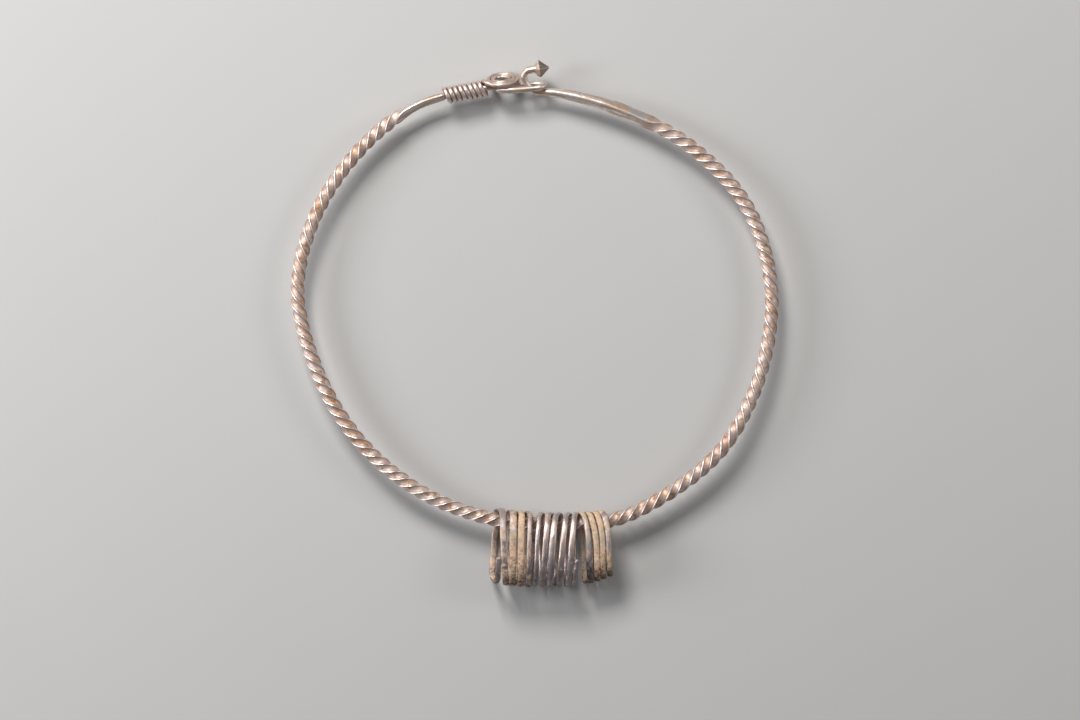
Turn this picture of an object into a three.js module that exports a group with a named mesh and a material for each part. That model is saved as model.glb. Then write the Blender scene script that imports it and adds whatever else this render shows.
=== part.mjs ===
// A silver torc lying flat: a twisted rod bent to a neck ring, fastened by a hook in a hairpin loop,
// with a binding wire that ends in a spiral eyelet, and three loose wire spirals strung on the rod.
// Millimetres, +Z up. The clasp is towards +Y and the spirals hang out towards -Y.
import * as THREE from 'three';

// The ring
const ringRadius = 75.1; // mean distance from the middle of the ring to the rod's axis
const ringBend = [ // bearing in degrees, and the axis's distance there as a share of ringRadius
  [120, 1.024], [133, 1.035], [154, 1.045], [175, 1.049], [196, 1.001], [217, 0.973], [238, 0.957],
  [259, 0.952], [280, 0.97], [289, 0.996], [301, 1.004], [322, 1.03], [343, 1.031], [364, 1.039],
  [385, 1.029], [406, 0.98], [427, 0.941],
];
const spiralsShare = 0.954; // the same where the wire spirals hang
const claspShare = 0.945; // distance of the clasp's reference point, as a share of ringRadius
const ridgeRadius = 2.45; // rod's axis to one of its four ridges
const flankShare = 0.75; // rod's axis to the middle of a twisted face, as a share of ridgeRadius
const twistLead = 16.8; // length of rod in one full turn of its left-hand twist
const twistFrom = 130; // bearing where the twist has come in at the left end
const twistTo = 413; // bearing where it begins to go out on the right
const twistFade = 9; // degrees of bearing over which it comes in or goes out
const stepsPerLead = 12; // cross-sections of the rod to a lead

// The plain ends: half widths of the rod and the share that gives their faces
const leftNeck = 1.45;
const leftNeckPlace = [-30.9, -1.75, 0]; // where it meets the binding, from the clasp's reference point
const rightShoulder = 2.35;
const shoulderFrom = 427; // bearing where the right end begins to narrow from its shoulder
const shoulderTo = 440;
const coreRadius = 1.02; // rod drawn thin inside the binding
const plainFlank = 0.86;
const plainStep = 2.6; // rod between two of its plain cross-sections

// The clasp: X, Y and Z from its reference point on the ring's mid-plane, then the half width
const bindingFrom = [-29.6, -1.25, 0];
const bindingTo = [-16.5, 1.2, 0];
const hairpin = [ // from the loop's free tip along its front bar, round its bend and back to the binding
  [-12.9, 0.25, 1.9, 0.4], [-12.3, 0.2, 1.9, 0.8], [-10.0, 0.2, 1.9, 1.0], [-6.4, 0.35, 1.9, 1.06],
  [-2.8, 0.65, 1.9, 0.94], [0, 0.95, 1.9, 0.82], [1.7, 1.15, 1.85, 0.8], [2.75, 1.7, 1.2, 0.82],
  [3.0, 2.25, 0.05, 0.85], [2.4, 2.6, -1.15, 0.9], [0.9, 2.65, -1.8, 0.9],
  [-4.45, 2.5, -1.9, 0.7], [-9.1, 1.85, -1.3, 0.64], [-13.4, 1.25, -0.45, 0.7],
];
const hook = [ // from the right end of the rod to the knob's neck
  [8.0, -0.55, -0.4, 1.46], [2.6, -0.1, -0.75, 1.32], [-0.1, 0.05, -0.7, 1.1],
  [-1.35, 0.85, -0.4, 0.92], [-2.4, 2.05, 0.05, 0.86], [-3.3, 3.35, 0.5, 0.98],
  [-3.85, 5.2, 1.0, 1.22], [-3.0, 6.6, 1.2, 1.22], [-1.55, 7.08, 1.2, 1.22], [-0.1, 7.3, 1.2, 1.36],
];
const knobRadius = 2.98; // knob's axis to a corner of its four-sided base
const knobBevel = 1.3; // neck to base
const knobLength = 3.3; // base to point
const knobPoint = 0.35;
const knobFlank = 0.74;

// The binding wire and its eyelet
const bindingWire = 1.5;
const bindingTurns = 8;
const bindingTilt = 0.35; // each turn leans: back on the rod's outer side and forward on its inner side
const bindingSteps = 12; // to a turn
const bindingGap = 0.41; // between the rod's core and the wire round it
const leadOut = [-16.0, 2.82, 1.8]; // where the wire leaves the last turn for the eyelet
const eyeletWire = 1.36;
const eyeletCentre = [-11.05, 4.2, -1.45];
const eyeletRadius = 5.65; // eyelet's centre to the middle of the wire where its outer turn begins
const eyeletStep = 1.5; // from turn to turn
const eyeletTurns = 2.72;
const eyeletFrom = 130; // degrees round it where it begins, on its near left
const eyeletSteps = 14; // to a turn
const eyeletLean = 64.5; // degrees that the eyelet stands up from the ring's plane
const eyeletRoll = 5; // degrees that its long way rises to the right

// The wire spirals. turns is a list of [phase, X] with the phase in turns: whole ones are on the rod's
// inner side, halves at the foot. hand is 1 where the front strands run down towards +X, and -1 where
// they run up. Their ends, from and to, are in steps of the phase.
const spiralGap = 0.45; // between the rod's ridges and the wire that hangs on them
const ovalPower = 2.35; // 2 gives an elliptical turn, more a squarer one
const flatSpot = 0.15; // wire worn away where a spiral or the eyelet lies on a surface
const spiralSteps = 16; // to a turn, half a step off its lowest place on both sides
const faceShare = 0.55; // flat middle of the flattened wire, as a share of its width
const spirals = [
  {
    name: 'wire_spiral_left', hand: 1, color: 0xb9a58c, depth: 17, heights: [25.1, 25.1],
    widths: [2.2, 1.65], thickness: 1.2, from: 4.5, to: 76.5,
    turns: [[0.25, -11.3], [0.4, -12.7], [0.62, -14.9], [0.78, -14.8], [0.92, -12.9], [1, -10.9],
      [1.5, -9.8], [2, -7.25], [2.5, -7.6], [3, -4.45], [3.5, -4.8], [4, -1.6], [4.5, -2.6], [5, 0.2]],
  },
  {
    name: 'wire_spiral_middle', hand: -1, color: 0xa79f9d, depth: 17, heights: [24.6, 24.6],
    widths: [1.55, 1.95], thickness: 1.05, from: 8.5, to: 91.5,
    turns: [[0.5, -0.25], [1, 1.3], [1.5, 2.1], [2, 4.3], [2.5, 4.25], [3, 6.95], [3.42, 6.5],
      [3.58, 7.9], [4, 10.25], [4.5, 10.4], [5, 13.0], [5.3, 12.5], [5.5, 11.9], [5.75, 13.9]],
  },
  {
    name: 'wire_spiral_right', hand: 1, color: 0xb0a68c, depth: 15, heights: [24.2, 22.4],
    widths: [1.65, 1.75], thickness: 1.2, from: 8.5, to: 74.5,
    turns: [[0.5, 16.4], [1, 15.45], [1.25, 17.6], [1.5, 18.35], [2, 17.65], [2.25, 19.85], [2.5, 20.4],
      [3, 19.8], [3.25, 21.95], [3.5, 22.5], [4, 21.95], [4.25, 24.05], [4.5, 24.6], [5, 24.2]],
  },
];

// The lie of the ring: the rod runs level through the spirals and sinks a little towards the eyelet
const rodHeight = 7.6; // rod's axis above the surface where the spirals hang
const claspHeight = eyeletBelow() - flatSpot - eyeletCentre[2];

const radians = THREE.MathUtils.degToRad;
const ramp = (x, from, to) => THREE.MathUtils.smoothstep(x, from, to);
const mix = THREE.MathUtils.lerp;

// How far the leaning eyelet goes below its centre, on the far side of its outer turn.
function eyeletBelow() {
  const reach = eyeletRadius - (eyeletStep * (eyeletFrom + 90)) / 360;
  return reach * Math.sin(THREE.MathUtils.degToRad(eyeletLean)) + eyeletWire / 2;
}

// The value at x of a list of [x, value] pairs, half straight and half eased between its entries.
function along(pairs, x) {
  const last = pairs.length - 2;
  const i = Math.min(last, Math.max(0, pairs.findIndex(([key]) => key > x) - 1));
  const [x0, v0] = pairs[i];
  const [x1, v1] = pairs[i + 1];
  const t = (x - x0) / (x1 - x0);
  return mix(v0, v1, (t + (1 - Math.cos(Math.PI * t)) / 2) / 2);
}

// A closed solid through rings of points: each ring has the same number of points, wound the same way.
function skin(rings) {
  const sides = rings[0].length;
  const vertices = rings.flat().flatMap((p) => [p.x, p.y, Math.max(p.z, 0)]);
  const faces = [];
  for (let r = 0; r < rings.length - 1; r += 1) {
    for (let s = 0; s < sides; s += 1) {
      const a = r * sides + s;
      const b = r * sides + ((s + 1) % sides);
      faces.push(a, b, b + sides, a, b + sides, a + sides);
    }
  }
  [rings[0], rings[rings.length - 1]].forEach((ring, end) => {
    const first = end * (rings.length - 1) * sides;
    for (let s = 1; s < sides - 1; s += 1) {
      if (end) faces.push(first, first + s, first + s + 1);
      else faces.push(first, first + s + 1, first + s);
    }
  });
  const geometry = new THREE.BufferGeometry();
  geometry.setAttribute('position', new THREE.Float32BufferAttribute(vertices, 3));
  geometry.setIndex(faces);
  return geometry;
}

// Unit tangent of a line of points at each of them.
function tangents(points) {
  return points.map((p, i) => points[Math.min(i + 1, points.length - 1)].clone()
    .sub(points[Math.max(i - 1, 0)]).normalize());
}

// Carries a side direction along a line of points without letting it spin, from the anchor both ways.
function sideDirections(directions, anchor, start) {
  const sides = [];
  const flatten = (side, tangent) => side.clone().addScaledVector(tangent, -side.dot(tangent)).normalize();
  sides[anchor] = flatten(start, directions[anchor]);
  for (let i = anchor + 1; i < directions.length; i += 1) sides[i] = flatten(sides[i - 1], directions[i]);
  for (let i = anchor - 1; i >= 0; i -= 1) sides[i] = flatten(sides[i + 1], directions[i]);
  return sides;
}

// A ring of points round a centre: corners is a list of [angle, radius] in the plane of side and across.
function section(centre, tangent, side, corners) {
  const across = new THREE.Vector3().crossVectors(tangent, side);
  return corners.map(([angle, radius]) => centre.clone()
    .addScaledVector(side, radius * Math.cos(angle))
    .addScaledVector(across, radius * Math.sin(angle)));
}

// Corners of a regular outline with four ridges and four flanks between them.
function ridged(radius, flank, turned) {
  return Array.from({ length: 8 }, (_, k) => [turned + (k * Math.PI) / 4, k % 2 ? radius * flank : radius]);
}

// Height of the ring's mid-plane above the surface.
function planeHeight(y) {
  const low = -ringRadius * spiralsShare;
  return mix(rodHeight, claspHeight, (y - low) / (ringRadius * claspShare - low));
}

// A place by the clasp, from its offsets to the clasp's reference point.
function byClasp([x, y, z]) {
  const up = ringRadius * claspShare + y;
  return new THREE.Vector3(x, up, planeHeight(up) + z);
}

// A place on the ring, by its bearing and distance.
function byBearing(bearing, share) {
  const angle = radians(bearing);
  const y = ringRadius * share * Math.sin(angle);
  return new THREE.Vector3(ringRadius * share * Math.cos(angle), y, planeHeight(y));
}

// The whole rod's axis, from the loop's tip through the ring to the knob's neck. Each station has its
// place, its half width, its flank share and how much of the twist it takes.
function rodStations() {
  const bindingMid = bindingFrom.map((v, i) => (v + bindingTo[i]) / 2);
  const keys = [
    ...hairpin.map((p) => ({ place: byClasp(p), half: p[3], flank: 1 })),
    ...[bindingTo, bindingMid, bindingFrom].map((p) => ({ place: byClasp(p), half: coreRadius, flank: 1 })),
    { place: byClasp(leftNeckPlace), half: leftNeck, flank: plainFlank },
    ...ringBend.map(([bearing, share]) => ({ place: byBearing(bearing, share), bearing })),
    ...hook.map((p) => ({ place: byClasp(p), half: p[3], flank: 1 })),
  ];
  const curve = new THREE.CatmullRomCurve3(keys.map((key) => key.place), false, 'centripetal');
  const firstRing = keys.findIndex((key) => key.bearing === ringBend[0][0]);
  const lastRing = firstRing + ringBend.length - 1;
  const stations = [];
  for (let i = 0; i < keys.length - 1; i += 1) {
    const onRing = i >= firstRing && i < lastRing;
    const span = keys[i].place.distanceTo(keys[i + 1].place);
    const steps = onRing ? Math.ceil((span * stepsPerLead) / twistLead) : Math.ceil(span / plainStep);
    for (let s = 0; s < steps; s += 1) {
      const t = s / steps;
      const place = curve.getPoint((i + t) / (keys.length - 1));
      if (onRing) stations.push({ place, ...ringForm(mix(keys[i].bearing, keys[i + 1].bearing, t)) });
      else stations.push({ place, twist: 0, ...plainForm(keys[i], keys[i + 1], t) });
    }
  }
  const neck = keys[keys.length - 1];
  stations.push({ place: neck.place, half: neck.half, flank: 1, twist: 0 });
  return stations;
}

// Half width, flank share and twist of the rod at a bearing round the ring.
function ringForm(bearing) {
  const twist = ramp(bearing, twistFrom - twistFade, twistFrom)
    - ramp(bearing, twistTo, twistTo + twistFade);
  const right = mix(rightShoulder, hook[0][3], ramp(bearing, shoulderFrom, shoulderTo));
  const plain = bearing < (twistFrom + twistTo) / 2 ? leftNeck : right;
  return { half: mix(plain, ridgeRadius, twist), flank: mix(plainFlank, flankShare, twist), twist };
}

// Half width and flank share between two stations off the ring.
function plainForm(from, to, t) {
  const end = { half: to.half ?? leftNeck, flank: to.flank ?? plainFlank };
  const start = { half: from.half ?? rightShoulder, flank: from.flank ?? plainFlank };
  return { half: mix(start.half, end.half, t), flank: mix(start.flank, end.flank, t) };
}

// The rod with the hairpin loop at one end and the hook and its knob at the other.
function torcRod(stations) {
  const directions = tangents(stations.map((station) => station.place));
  const middle = Math.floor(stations.length / 2);
  const sides = sideDirections(directions, middle, new THREE.Vector3(0, 0, 1));
  let turned = 0;
  const rings = stations.map(({ place, half, flank, twist }, i) => {
    if (i) turned -= (twist * 2 * Math.PI * place.distanceTo(stations[i - 1].place)) / twistLead;
    return section(place, directions[i], sides[i], ridged(half, flank, turned));
  });
  const end = stations.length - 1;
  const forward = directions[end];
  const knob = [[knobBevel, knobRadius, knobFlank], [knobBevel + knobLength, knobPoint, 1]];
  knob.forEach(([ahead, radius, flank]) => {
    const centre = stations[end].place.clone().addScaledVector(forward, ahead);
    rings.push(section(centre, forward, sides[end], ridged(radius, flank, turned)));
  });
  return skin(rings);
}

// A round wire through a line of points.
function roundWire(points, radii, sides = 6) {
  const directions = tangents(points);
  const across = sideDirections(directions, 0, new THREE.Vector3(0, 1, 0));
  return skin(points.map((p, i) => section(p, directions[i], across[i],
    Array.from({ length: sides }, (_, k) => [(k * 2 * Math.PI) / sides, radii[i]]))));
}

// The wire bound round the rod's core, led out into a flat spiral eyelet.
function bindingAndEyelet() {
  const from = byClasp(bindingFrom);
  const axis = byClasp(bindingTo).sub(from);
  const forward = axis.clone().normalize();
  const up = new THREE.Vector3().crossVectors(new THREE.Vector3(0, 0, 1), forward).normalize();
  const front = new THREE.Vector3().crossVectors(forward, up);
  const radius = coreRadius + bindingGap + bindingWire / 2;
  const points = [];
  const radii = [];
  for (let s = -1; s <= bindingTurns * bindingSteps; s += 1) {
    const turn = s / bindingSteps;
    const angle = turn * 2 * Math.PI;
    points.push(from.clone().addScaledVector(axis, turn / bindingTurns)
      .addScaledVector(forward, -bindingTilt * Math.cos(angle))
      .addScaledVector(up, radius * Math.cos(angle)).addScaledVector(front, radius * Math.sin(angle)));
    radii.push(bindingWire / 2);
  }
  const centre = byClasp(eyeletCentre);
  const roll = radians(eyeletRoll);
  const lean = radians(eyeletLean);
  const long = new THREE.Vector3(Math.cos(roll), Math.sin(roll), 0);
  const level = new THREE.Vector3(Math.sin(roll), -Math.cos(roll), 0);
  const near = level.multiplyScalar(Math.cos(lean)).setZ(Math.sin(lean));
  points.push(byClasp(leadOut));
  radii.push((bindingWire + eyeletWire) / 4);
  for (let s = 0; s <= eyeletTurns * eyeletSteps; s += 1) {
    const turn = s / eyeletSteps;
    const angle = radians(eyeletFrom) - turn * 2 * Math.PI;
    const reach = eyeletRadius - eyeletStep * turn;
    points.push(centre.clone().addScaledVector(long, reach * Math.cos(angle))
      .addScaledVector(near, reach * Math.sin(angle)));
    radii.push(eyeletWire / 2);
  }
  return roundWire(points, radii);
}

// The rod's Y at a given X where the spirals hang on it.
function rodYAt(x, stations) {
  const low = stations.map((station) => station.place).filter((p) => p.y < 0);
  const i = low.findIndex((p) => p.x > x);
  const [a, b] = [low[i - 1], low[i]];
  return mix(a.y, b.y, (x - a.x) / (b.x - a.x));
}

// One spiral of flattened wire, hanging on the rod's inner side and lying on its own flat side.
function wireSpiral(form, stations) {
  const { hand, depth, heights, widths, thickness, from, to, turns } = form;
  const power = 2 / ovalPower;
  const oval = (value) => Math.sign(value) * Math.abs(value) ** power;
  const count = to - from;
  const halfDepth = (depth - thickness) / 2;
  const points = [];
  const outward = [];
  for (let s = 0; s <= count; s += 1) {
    const share = s / count;
    const phase = (from + s) / spiralSteps;
    const x = along(turns, phase);
    const halfHeight = (mix(heights[0], heights[1], share) - thickness) / 2;
    const top = rodYAt(x, stations) + ridgeRadius + spiralGap + thickness / 2;
    const c = Math.cos(phase * 2 * Math.PI);
    const n = Math.sin(phase * 2 * Math.PI);
    points.push(new THREE.Vector3(x, top - halfHeight + halfHeight * oval(c),
      depth / 2 - flatSpot + hand * halfDepth * oval(n)));
    outward.push(new THREE.Vector3(0, c / halfHeight, (hand * n) / halfDepth).normalize());
  }
  const directions = tangents(points);
  const rings = points.map((p, i) => {
    const width = mix(widths[0], widths[1], i / count) / 2;
    const side = outward[i].addScaledVector(directions[i], -outward[i].dot(directions[i])).normalize();
    const corner = Math.hypot(thickness / 2, width * faceShare);
    const slope = Math.atan2(width * faceShare, thickness / 2);
    return section(p, directions[i], side, [
      [slope, corner], [Math.PI / 2, width], [Math.PI - slope, corner],
      [Math.PI + slope, corner], [(3 * Math.PI) / 2, width], [-slope, corner],
    ]);
  });
  return skin(rings);
}

function silver(color, roughness) {
  return new THREE.MeshStandardMaterial({ color, roughness, metalness: 0.85 });
}

function piece(name, geometry, material) {
  const mesh = new THREE.Mesh(geometry, material);
  mesh.name = name;
  return mesh;
}

const stations = rodStations();
const torc = new THREE.Group();
torc.add(piece('torc_rod', torcRod(stations), silver(0xb49a86, 0.38)));
torc.add(piece('binding_wire', bindingAndEyelet(), silver(0xbfaa9a, 0.36)));
spirals.forEach((form) => torc.add(piece(form.name, wireSpiral(form, stations), silver(form.color, 0.5))));

// The origin goes under the middle of the whole, on the surface it lies on.
const box = new THREE.Box3().setFromObject(torc);
const middle = box.getCenter(new THREE.Vector3());
torc.position.set(-middle.x, -middle.y, -box.min.z);
const whole = new THREE.Group();
whole.add(torc);

export default whole;
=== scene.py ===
import math

import bpy
import numpy as np
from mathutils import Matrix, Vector


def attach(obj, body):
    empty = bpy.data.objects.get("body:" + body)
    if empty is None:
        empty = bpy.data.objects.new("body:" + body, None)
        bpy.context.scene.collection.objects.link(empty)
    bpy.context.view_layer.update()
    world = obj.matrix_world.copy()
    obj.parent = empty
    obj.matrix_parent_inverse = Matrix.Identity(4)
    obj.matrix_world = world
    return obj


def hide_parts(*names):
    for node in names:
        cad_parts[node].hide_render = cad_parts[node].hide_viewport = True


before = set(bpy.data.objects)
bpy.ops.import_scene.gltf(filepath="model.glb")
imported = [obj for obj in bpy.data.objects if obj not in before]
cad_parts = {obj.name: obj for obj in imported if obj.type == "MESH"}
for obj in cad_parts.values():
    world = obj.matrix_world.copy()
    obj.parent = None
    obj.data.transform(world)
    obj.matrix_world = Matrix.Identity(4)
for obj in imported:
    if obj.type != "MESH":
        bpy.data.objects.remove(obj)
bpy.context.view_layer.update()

mm = 0.001


# shapes shared by the pieces

def ease(x, low, high):
    # 0 below low, 1 above high, and the cubic 3tt - 2ttt between them
    t = np.clip((np.asarray(x, float) - low) / (high - low), 0, 1)
    return t * t * (3 - 2 * t)


def peak(x, centre, width):
    # bell curve: 1 at the centre, falling with the square of the distance over the width
    return np.exp(-((x - centre) / width) ** 2)


def lumps(points, size, seed, waves=26):
    # a sum of plane sine waves in random directions, each with a wavelength near size; mostly from -1 to 1
    maker = np.random.default_rng(seed)
    direction = maker.normal(size=(waves, points.shape[-1]))
    direction /= np.linalg.norm(direction, axis=1)[:, None]
    rate = 2 * np.pi / size * maker.uniform(0.65, 1.5, waves)
    start = maker.uniform(0, 2 * np.pi, waves)
    return np.sin(points @ (direction * rate[:, None]).T + start).sum(-1) / math.sqrt(waves)


def smoothLine(keys, span, t):
    # centripetal spline: on each span a cubic through its two keys, whose slopes there come from the
    # neighbouring keys, weighted by the square roots of the distances between them
    k = np.vstack([2 * keys[0] - keys[1], keys, 2 * keys[-1] - keys[-2]])
    gap = np.linalg.norm(np.diff(k, axis=0), axis=1)[:, None] ** 0.5
    a, b, c, d = k[:-3], k[1:-2], k[2:-1], k[3:]
    ga, gb, gc = gap[:-2], gap[1:-1], gap[2:]
    m = ((b - a) / ga - (c - a) / (ga + gb) + (c - b) / gb) * gb
    n = ((c - b) / gb - (d - b) / (gb + gc) + (d - c) / gc) * gb
    t = t[:, None]
    return (b[span] + m[span] * t + (3 * c - 3 * b - 2 * m - n)[span] * t ** 2
            + (2 * b - 2 * c + m + n)[span] * t ** 3)


def alongTable(table, x):
    # value of a table of [x, value] rows, half straight and half eased between its rows
    table = np.array(table, float)
    i = np.clip(np.searchsorted(table[:, 0], x, side="right") - 1, 0, len(table) - 2)
    t = (x - table[i, 0]) / (table[i + 1, 0] - table[i, 0])
    return table[i, 1] + (table[i + 1, 1] - table[i, 1]) * (t + (1 - np.cos(np.pi * t)) / 2) / 2


def tangentsOf(path):
    # direction from the point before to the point after, made one unit long
    step = np.vstack([path[1] - path[0], path[2:] - path[:-2], path[-1] - path[-2]])
    return step / np.linalg.norm(step, axis=1)[:, None]


def carriedSides(tangent, start, anchor=0):
    # a side direction that never spins round the path: each is the last one, laid square to the new tangent
    side = np.empty_like(tangent)

    def carry(order, last):
        for i in order:
            last = last - tangent[i] * (last @ tangent[i])
            last /= np.linalg.norm(last)
            side[i] = last

    carry(range(anchor, len(tangent)), np.array(start, float))
    carry(range(anchor, -1, -1), np.array(start, float))
    return side, np.cross(tangent, side)


def sweep(path, side, across, angle, radius):
    # ring of points round each place of the path: side by radius cos angle, across by radius sin angle
    return (path[:, None] + side[:, None] * (radius * np.cos(angle))[..., None]
            + across[:, None] * (radius * np.sin(angle))[..., None])


def skinOf(name, rings, paint, sharpAngle=50):
    # closed skin over a grid of rings: four-sided faces between them and a fan to a middle point at each end
    rows, cols = rings.shape[:2]
    points = np.vstack([rings.reshape(-1, 3), rings[0].mean(0), rings[-1].mean(0)]) * mm
    points[:, 2] = np.maximum(points[:, 2], 0)  # worn flat where it lies on the floor
    a = np.arange((rows - 1) * cols).reshape(rows - 1, cols)
    b = np.roll(a, -1, axis=1)
    quads = np.stack([a, b, b + cols, a + cols], -1).reshape(-1, 4)
    first, last = rows * cols, rows * cols + 1
    ring = np.arange(cols)
    turn = np.roll(ring, -1)
    fans = np.vstack([np.stack([turn, ring, np.full(cols, first)], -1),
                      np.stack([ring, turn, np.full(cols, last)], -1) + [[(rows - 1) * cols] * 2 + [0]]])
    mesh = bpy.data.meshes.new(name)
    mesh.from_pydata(points.tolist(), [], quads.tolist() + fans.tolist())
    for key, value in paint.items():
        value = np.broadcast_to(value, (rows, cols))
        whole = np.concatenate([value.ravel(), [value[0].mean(), value[-1].mean()]])
        mesh.attributes.new(key, "FLOAT", "POINT").data.foreach_set("value", whole.astype(np.float32))
    mesh.polygons.foreach_set("use_smooth", np.ones(len(mesh.polygons), bool))
    mesh.set_sharp_from_angle(angle=math.radians(sharpAngle))
    mesh.update()
    piece = bpy.data.objects.new(name, mesh)
    bpy.context.scene.collection.objects.link(piece)
    return piece


def outwardOf(rings):
    # normal of a grid of points: the way round it crossed with the way along it
    around = np.roll(rings, -1, axis=1) - np.roll(rings, 1, axis=1)
    onward = np.gradient(rings, axis=0)
    normal = np.cross(around, onward)
    return normal / np.maximum(np.linalg.norm(normal, axis=-1), 1e-9)[..., None]


# the lie of the ring, in millimetres from the middle of the whole torc

ring = {
    "middle": (0.245, 5.503),
    "radius": 75.1,
    "bend": [  # bearing in degrees, and the distance of the rod's axis as a share of the radius
        [120, 1.024], [133, 1.035], [154, 1.045], [175, 1.049], [196, 1.001], [217, 0.973], [238, 0.957],
        [259, 0.952], [280, 0.97], [289, 0.996], [301, 1.004], [322, 1.03], [343, 1.031], [364, 1.039],
        [385, 1.029], [406, 0.98], [427, 0.941]],
    "claspShare": 0.945,  # distance of the clasp's reference point, as a share of the radius
    "spiralsShare": 0.954,  # the same where the spirals hang
    "spiralsHeight": 7.6,  # rod's axis above the floor at the spirals
    "claspHeight": 6.252,  # and at the clasp
}


def planeHeight(y):
    # the ring lies almost level: its height runs straight from the spirals to the clasp
    low, high = -ring["radius"] * ring["spiralsShare"], ring["radius"] * ring["claspShare"]
    return ring["spiralsHeight"] + (ring["claspHeight"] - ring["spiralsHeight"]) * (y - low) / (high - low)


def placed(x, y, z):
    return np.stack([x + ring["middle"][0], y + ring["middle"][1], planeHeight(y) + z], -1)


def byClasp(offsets):
    # places by the clasp, from their X, Y and Z to its reference point
    x, y, z = np.array(offsets, float).T[:3]
    return placed(x, y + ring["radius"] * ring["claspShare"], z)


def byBearing(bearing, share):
    angle = np.radians(bearing)
    reach = ring["radius"] * np.asarray(share)
    return placed(reach * np.cos(angle), reach * np.sin(angle), 0 * reach)


# the twisted rod with its hairpin loop, hook and knob

rod = {
    "ridge": 2.45,  # axis to a ridge
    "flank": 0.75,  # axis to the middle of a face, as a share of that
    "leads": [  # bearing, and length of rod in one full turn of the twist there
        [120, 16.6], [170, 16.8], [215, 17.1], [262, 17.2], [300, 16.6], [345, 16.2], [420, 16.6]],
    "turnedAt": 262,  # bearing where the twist is counted from
    "uneven": [  # bearing, and degrees that the twist is ahead of its even run there
        [120, 46], [132, 54], [144, 62], [156, 66], [168, 70], [180, 78], [186, 76], [192, 64], [198, 54],
        [204, 50], [216, 51], [222, 45], [228, 31], [234, 14], [240, 8], [262, 0], [290, -14], [300, 2],
        [306, 26], [312, 42], [318, 47], [324, 62], [330, 86], [342, 101], [348, 112], [354, 130],
        [360, 140], [372, 149], [390, 143], [396, 130], [402, 126], [408, 130], [414, 148], [422, 155]],
    "twist": (121, 130, 413, 422),  # bearings where the twist comes in and goes out
    "leftNeck": 1.45, "rightShoulder": 2.35,  # half widths of the plain rod at the ends of the twist
    "shoulder": (427, 440),  # bearings over which the right end narrows
    "shoulderSide": 300,  # bearing past which the plain half width is the right end's
    "plainFlank": 0.86,
    "core": 1.02,  # half width inside the binding
    "binding": [[-29.6, -1.25, 0], [-16.5, 1.2, 0]],  # from and to, by the clasp
    "neckPlace": [-30.9, -1.75, 0],
    "hairpin": [  # X, Y and Z by the clasp, then the half width
        [-13.0, 0.25, 1.9, 1.0], [-12.3, 0.2, 1.9, 1.0], [-10.0, 0.2, 1.9, 1.0], [-6.4, 0.35, 1.9, 1.06],
        [-2.8, 0.65, 1.9, 0.94], [0, 0.95, 1.9, 0.82], [1.7, 1.15, 1.85, 0.8], [2.75, 1.7, 1.2, 0.82],
        [3.0, 2.25, 0.05, 0.85], [2.4, 2.6, -1.15, 0.9], [0.9, 2.65, -1.8, 0.9],
        [-4.45, 2.5, -1.9, 0.7], [-9.1, 1.85, -1.3, 0.64], [-13.4, 1.25, -0.45, 0.7]],
    "hook": [
        [8.0, -0.55, -0.4, 1.46], [2.6, -0.1, -0.75, 1.32], [-0.1, 0.05, -0.7, 1.1],
        [-1.35, 0.85, -0.4, 0.92], [-2.4, 2.05, 0.05, 0.86], [-3.3, 3.35, 0.5, 0.98],
        [-3.85, 5.2, 1.0, 1.22], [-3.0, 6.6, 1.2, 1.22], [-1.55, 7.08, 1.2, 1.22], [-0.1, 7.3, 1.2, 1.36]],
    "tip": 2.3,  # length over which the loop's free end rounds off
    "knob": [[0.12, 1.55], [0.72, 2.72], [1.5, 3.1], [4.55, 0.3]],  # ahead of the neck, axis to a corner
    "knobFlank": 0.715, "knobStep": 0.22,
    "pyramidFrom": 1.3,  # ahead of the neck: the tarnished part of the knob
    "sharpness": 26, "knobSharpness": 18,  # power of the blend of square and circle
    "ringStep": 0.442, "plainStep": 0.3,  # between stations
    "hollowAt": 13, "hollowWidth": 6, "hollowDepth": 0.06,  # degrees from a ridge, degrees, millimetres
    "waves": [[9.0, 0.022, 11], [2.6, 0.012, 12], [1.1, 0.005, 13]],  # size, height, seed
    "knobWave": (2.2, 0.02, 14),
    "streakSize": 1.5, "streakStretch": 7, "streakSeed": 15,
    "offsets": [0, 2, 4, 6.5, 10, 15, 21, 28, 36.5],  # degrees from a ridge to the points beside it
    "bareWidth": 8.5, "tarnishShadeAt": 12, "tarnishShadeWidth": 5.5,  # degrees: bare silver on a ridge, tarnish and painted shade beside it
    "edgeWidth": 7, "edgeLeft": 0.2,  # degrees, and share of the tarnish that is left on the pyramid's edges
}


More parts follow.
